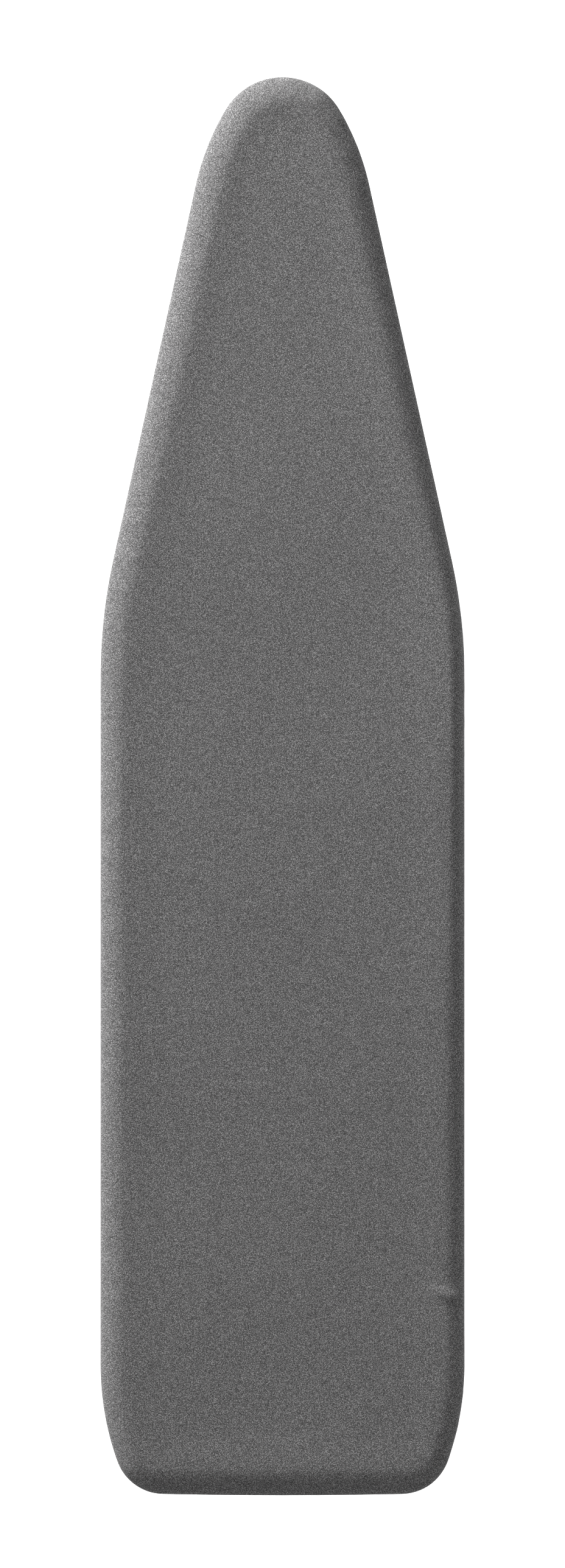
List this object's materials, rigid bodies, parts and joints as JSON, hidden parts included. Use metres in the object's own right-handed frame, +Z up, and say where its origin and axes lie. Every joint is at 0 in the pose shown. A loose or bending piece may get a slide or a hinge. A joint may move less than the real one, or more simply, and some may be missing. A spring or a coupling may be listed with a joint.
{
  "type": "folding ironing board",
  "caption": "Folding ironing board with a padded cloth-covered top that narrows to a rounded nose, standing on crossed T-shaped legs with a lever that sets the height.",
  "frame": {"origin": "on the floor, under the middle of the board's length and width, with the legs open at full height", "axes": "+X across the board towards the lever's side, +Y along the board towards its nose, +Z up"},
  "size_m": [0.352, 1.372, 0.915],
  "materials": {
    "cover_cloth": "matte",
    "pad_felt": "matte",
    "elastic_tape": "matte",
    "silver_paint": "satin",
    "bright_steel": "satin",
    "dark_plastic": "matte",
    "dark_nylon": "satin"
  },
  "bodies": {
    "board": {"cover": "cover_cloth", "pad": "pad_felt", "hem_elastic": "elastic_tape", "deck_sheet": "silver_paint", "rim_channel": "silver_paint", "tail_brace": "silver_paint", "mid_brace": "silver_paint", "nose_brace": "silver_paint", "slide_rail": "silver_paint", "rail_rivet_tail": "bright_steel", "rail_rivet_nose": "bright_steel", "pivot_bracket_left": "silver_paint", "pivot_pin_left": "bright_steel", "bracket_rivet_left": "bright_steel", "pivot_bracket_right": "silver_paint", "pivot_pin_right": "bright_steel", "bracket_rivet_right": "bright_steel", "lock_pivot_pin": "bright_steel", "spring_seat": "silver_paint", "lock_spring": "bright_steel"},
    "outer_leg": {"outer_tube_left": "silver_paint", "outer_tube_plug_left": "dark_plastic", "outer_tube_right": "silver_paint", "outer_tube_plug_right": "dark_plastic", "outer_foot_bar": "silver_paint", "cross_axle": "bright_steel", "cross_axle_nut": "bright_steel", "axle_washer_left": "bright_steel", "axle_spacer_left": "dark_nylon", "axle_washer_right": "bright_steel", "axle_spacer_right": "dark_nylon", "outer_foot_cap_left": "dark_plastic", "outer_foot_cap_right": "dark_plastic"},
    "inner_leg": {"inner_tube": "silver_paint", "slide_head": "dark_nylon", "slide_rod": "bright_steel", "slide_rod_cap_left": "dark_plastic", "slide_rod_cap_right": "dark_plastic", "inner_foot_bar": "silver_paint", "inner_foot_cap_left": "dark_plastic", "inner_foot_cap_right": "dark_plastic"},
    "lock": {"lock_strip_left": "bright_steel", "lock_strip_right": "bright_steel", "lock_shaft": "bright_steel", "shaft_cap": "dark_plastic", "lever_grip": "dark_plastic"}
  },
  "joints": [
    {"name": "leg_fold", "type": "hinge", "parent": "board", "child": "outer_leg", "pos_m": [0, -0.5, 0.8599], "axis": [1, 0, 0], "range_deg": [0, 50.14]},
    {"name": "leg_cross", "type": "hinge", "parent": "outer_leg", "child": "inner_leg", "pos_m": [0, -0.18597, 0.48376], "axis": [1, 0, 0], "range_deg": [-100.4, 0]},
    {"name": "height_lever", "type": "hinge", "parent": "board", "child": "lock", "pos_m": [0, 0.55, 0.8727], "axis": [-1, 0, 0], "range_deg": [0, 1.2], "stiffness_Nm_per_rad": 150, "springref_deg": -0.86, "deforming": ["lock_spring"]}
  ],
  "couplings": [
    {"joint": "leg_cross", "follows": "leg_fold", "ratio": -2}
  ]
}
